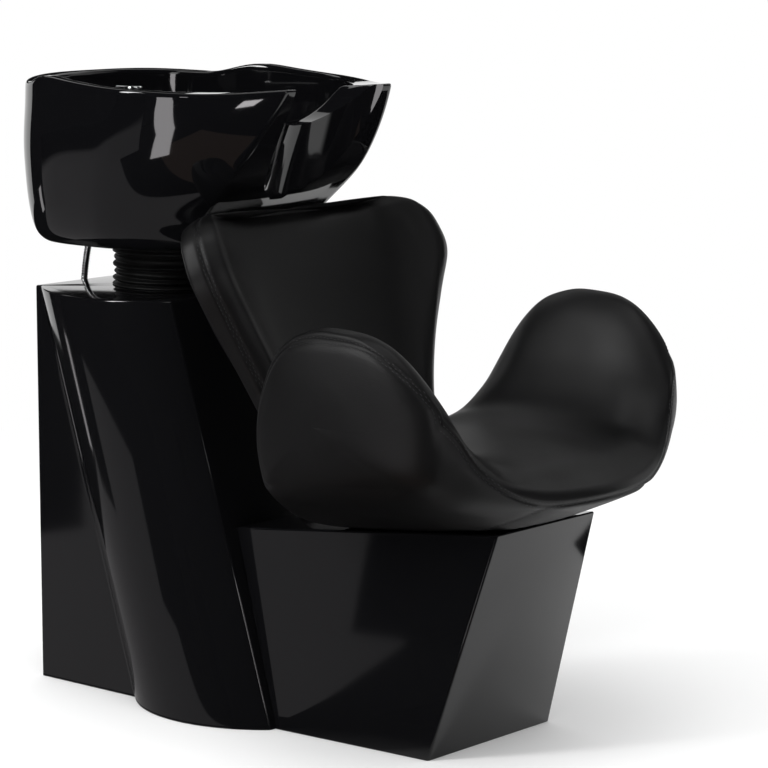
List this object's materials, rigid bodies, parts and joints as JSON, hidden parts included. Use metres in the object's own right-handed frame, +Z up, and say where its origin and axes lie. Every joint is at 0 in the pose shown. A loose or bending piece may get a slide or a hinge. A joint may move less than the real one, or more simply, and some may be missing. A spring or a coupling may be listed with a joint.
{
  "type": "salon backwash unit",
  "caption": "Salon backwash unit: tilting black ceramic basin with mixer tap on a leaning glossy column, joined by a plinth to a winged backrest and a saddle seat with wrap-up arms",
  "frame": {"origin": "centre of the whole unit's box on the floor, hose left out", "axes": "+Z up; the person sitting faces -Y, so +Y is the basin's rear; X runs across the seat"},
  "size_m": [0.63, 1.0285, 0.9512],
  "materials": {
    "gloss_black": "high-gloss black gel coat on laminated shell",
    "black_glaze": "glossy black glaze",
    "upholstery": "satin black leatherette over foam, double-stitched seams",
    "bellows_rubber": "matte black moulded rubber",
    "chrome": "polished chrome plate",
    "steel": "zinc-plated steel",
    "brass": "plain turned brass",
    "grey_plastic": "matte grey moulded plastic",
    "board": "bare plywood"
  },
  "bodies": {
    "base": {"column_shell": "gloss_black", "plinth_shell": "gloss_black", "shell_joint_bolts": "steel", "rear_panel": "gloss_black", "rear_panel_screws": "steel", "floor_brackets": "steel", "tilt_base_plate": "steel", "tilt_base_bolts": "steel", "hinge_pin": "steel", "hinge_nut": "steel", "hinge_washers": "grey_plastic", "bellows": "bellows_rubber", "waste_hose": "grey_plastic", "waste_outlet": "grey_plastic", "waste_bracket": "steel", "backrest_bracket": "steel", "backrest_bolts": "steel", "backrest_cushion": "upholstery", "seat_mount_plate": "steel", "seat_board": "board", "seat_bolts": "steel", "seat_cushion": "upholstery"},
    "basin": {"shower_hose": "chrome", "basin_rim": "black_glaze", "basin_apron": "black_glaze", "basin_bowl": "black_glaze", "basin_cradle": "steel", "cradle_bolts": "steel", "waste_flange": "chrome", "waste_gasket": "bellows_rubber", "waste_nut": "grey_plastic", "waste_tail": "grey_plastic", "mixer_body": "chrome", "mixer_nut": "brass", "mixer_inlets": "brass", "mixer_outlet": "chrome", "shower_socket": "chrome", "socket_nut": "brass"},
    "tap_cap": {"mixer_cap": "chrome", "lever_pin": "steel"},
    "tap_lever": {"mixer_lever": "chrome"},
    "shower": {"hand_shower": "chrome", "spray_face": "grey_plastic", "hose_nut": "chrome"},
    "strainer": {"hair_catcher": "chrome"}
  },
  "joints": [
    {"name": "basin_tilt", "type": "hinge", "parent": "base", "child": "basin", "pos_m": [0, 0.3565, 0.655], "axis": [1, 0, 0], "range_deg": [-14, 0], "deforming": ["bellows", "waste_hose", "shower_hose"]},
    {"name": "tap_swivel", "type": "hinge", "parent": "basin", "child": "tap_cap", "pos_m": [0, 0.4345, 0.8922], "axis": [0, 0, 1], "range_deg": [-40, 40]},
    {"name": "tap_lever_lift", "type": "hinge", "parent": "tap_cap", "child": "tap_lever", "pos_m": [0, 0.4345, 0.9002], "axis": [-1, 0, 0], "range_deg": [0, 20]},
    {"name": "hand_shower_lift", "type": "slide", "parent": "basin", "child": "shower", "axis": [0, 0, 1], "range_m": [0, 0.07], "deforming": ["shower_hose"]},
    {"name": "hair_catcher_lift", "type": "slide", "parent": "basin", "child": "strainer", "axis": [0, 0, 1], "range_m": [0, 0.04]}
  ]
}
